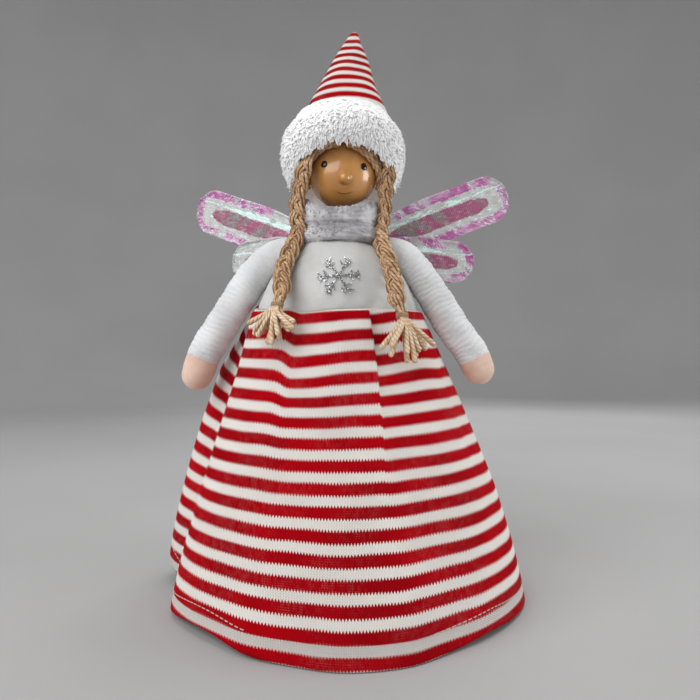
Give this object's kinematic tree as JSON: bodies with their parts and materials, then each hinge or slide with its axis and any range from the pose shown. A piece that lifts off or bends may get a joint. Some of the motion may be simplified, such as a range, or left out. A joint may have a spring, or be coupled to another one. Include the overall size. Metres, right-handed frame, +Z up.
{
  "type": "fairy tree topper",
  "caption": "Fairy doll tree topper: striped bell skirt over an open card cone, stuffed arms, plaited yarn hair, pointed fur-brimmed hat and folding film wings.",
  "frame": {"origin": "middle of the object's footprint box, on the ground under the skirt's hem", "axes": "+Z up to the hat's tip, the doll faces -Y, +X is the doll's own left"},
  "size_m": [0.189, 0.182, 0.3033],
  "materials": {
    "card": "plain rolled card, matt",
    "striped_knit": "red and white striped stockinette knit",
    "fleece": "pale grey-white brushed ribbed fleece",
    "grey_fleece": "soft grey fleece",
    "wadding": "loose white polyester wadding",
    "skin_cotton": "pale pink brushed cotton",
    "wood": "satin varnished pale wood",
    "black_bead": "gloss black",
    "fur": "white boucle fur pile",
    "yarn": "light brown three-ply wool yarn",
    "thread": "pale thread",
    "wire": "bright steel wire",
    "film": "clear iridescent film, pink to green"
  },
  "bodies": {
    "doll": {"support_cone": "card", "skirt": "striped_knit", "torso_cover": "fleece", "torso_fill": "wadding", "neck_dowel": "wood", "collar": "grey_fleece", "head": "wood", "nose": "wood", "eye_left": "black_bead", "eye_right": "black_bead", "hat_cone": "striped_knit", "hat_brim": "fur", "hat_fill": "wadding", "wing_binding": "film", "fringe_left_1": "yarn", "fringe_left_2": "yarn", "fringe_right_1": "yarn", "fringe_right_2": "yarn"},
    "arm_left": {"sleeve_left": "fleece", "arm_fill_left": "wadding", "hand_left": "skin_cotton"},
    "plait_left": {"plait_left_strand_1": "yarn", "plait_left_strand_2": "yarn", "plait_left_strand_3": "yarn", "plait_left_tie": "thread", "plait_left_tassel": "yarn"},
    "wings_left": {"upper_wing_left_wire": "wire", "upper_wing_left_film": "film", "lower_wing_left_wire": "wire", "lower_wing_left_film": "film"},
    "arm_right": {"sleeve_right": "fleece", "arm_fill_right": "wadding", "hand_right": "skin_cotton"},
    "plait_right": {"plait_right_strand_1": "yarn", "plait_right_strand_2": "yarn", "plait_right_strand_3": "yarn", "plait_right_tie": "thread", "plait_right_tassel": "yarn"},
    "wings_right": {"upper_wing_right_wire": "wire", "upper_wing_right_film": "film", "lower_wing_right_wire": "wire", "lower_wing_right_film": "film"}
  },
  "joints": [
    {"name": "arm_left_lift", "type": "hinge", "parent": "doll", "child": "arm_left", "pos_m": [0.03305, -0.00222, 0.186], "axis": [0, -1, 0], "range_deg": [0, 60]},
    {"name": "arm_right_lift", "type": "hinge", "parent": "doll", "child": "arm_right", "pos_m": [-0.03574, -0.00222, 0.186], "axis": [0, 1, 0], "range_deg": [0, 60]},
    {"name": "plait_left_swing", "type": "hinge", "parent": "doll", "child": "plait_left", "pos_m": [0.0204, -0.0185, 0.225], "axis": [-1, 0, 0], "range_deg": [0, 50]},
    {"name": "plait_right_swing", "type": "hinge", "parent": "doll", "child": "plait_right", "pos_m": [-0.0186, -0.0185, 0.225], "axis": [-1, 0, 0], "range_deg": [0, 50]},
    {"name": "wings_left_fold", "type": "hinge", "parent": "doll", "child": "wings_left", "pos_m": [0.00465, 0.02008, 0.191], "axis": [0, 0, 1], "range_deg": [0, 58]},
    {"name": "wings_right_fold", "type": "hinge", "parent": "doll", "child": "wings_right", "pos_m": [-0.00735, 0.02008, 0.191], "axis": [0, 0, -1], "range_deg": [-18, 40]}
  ]
}
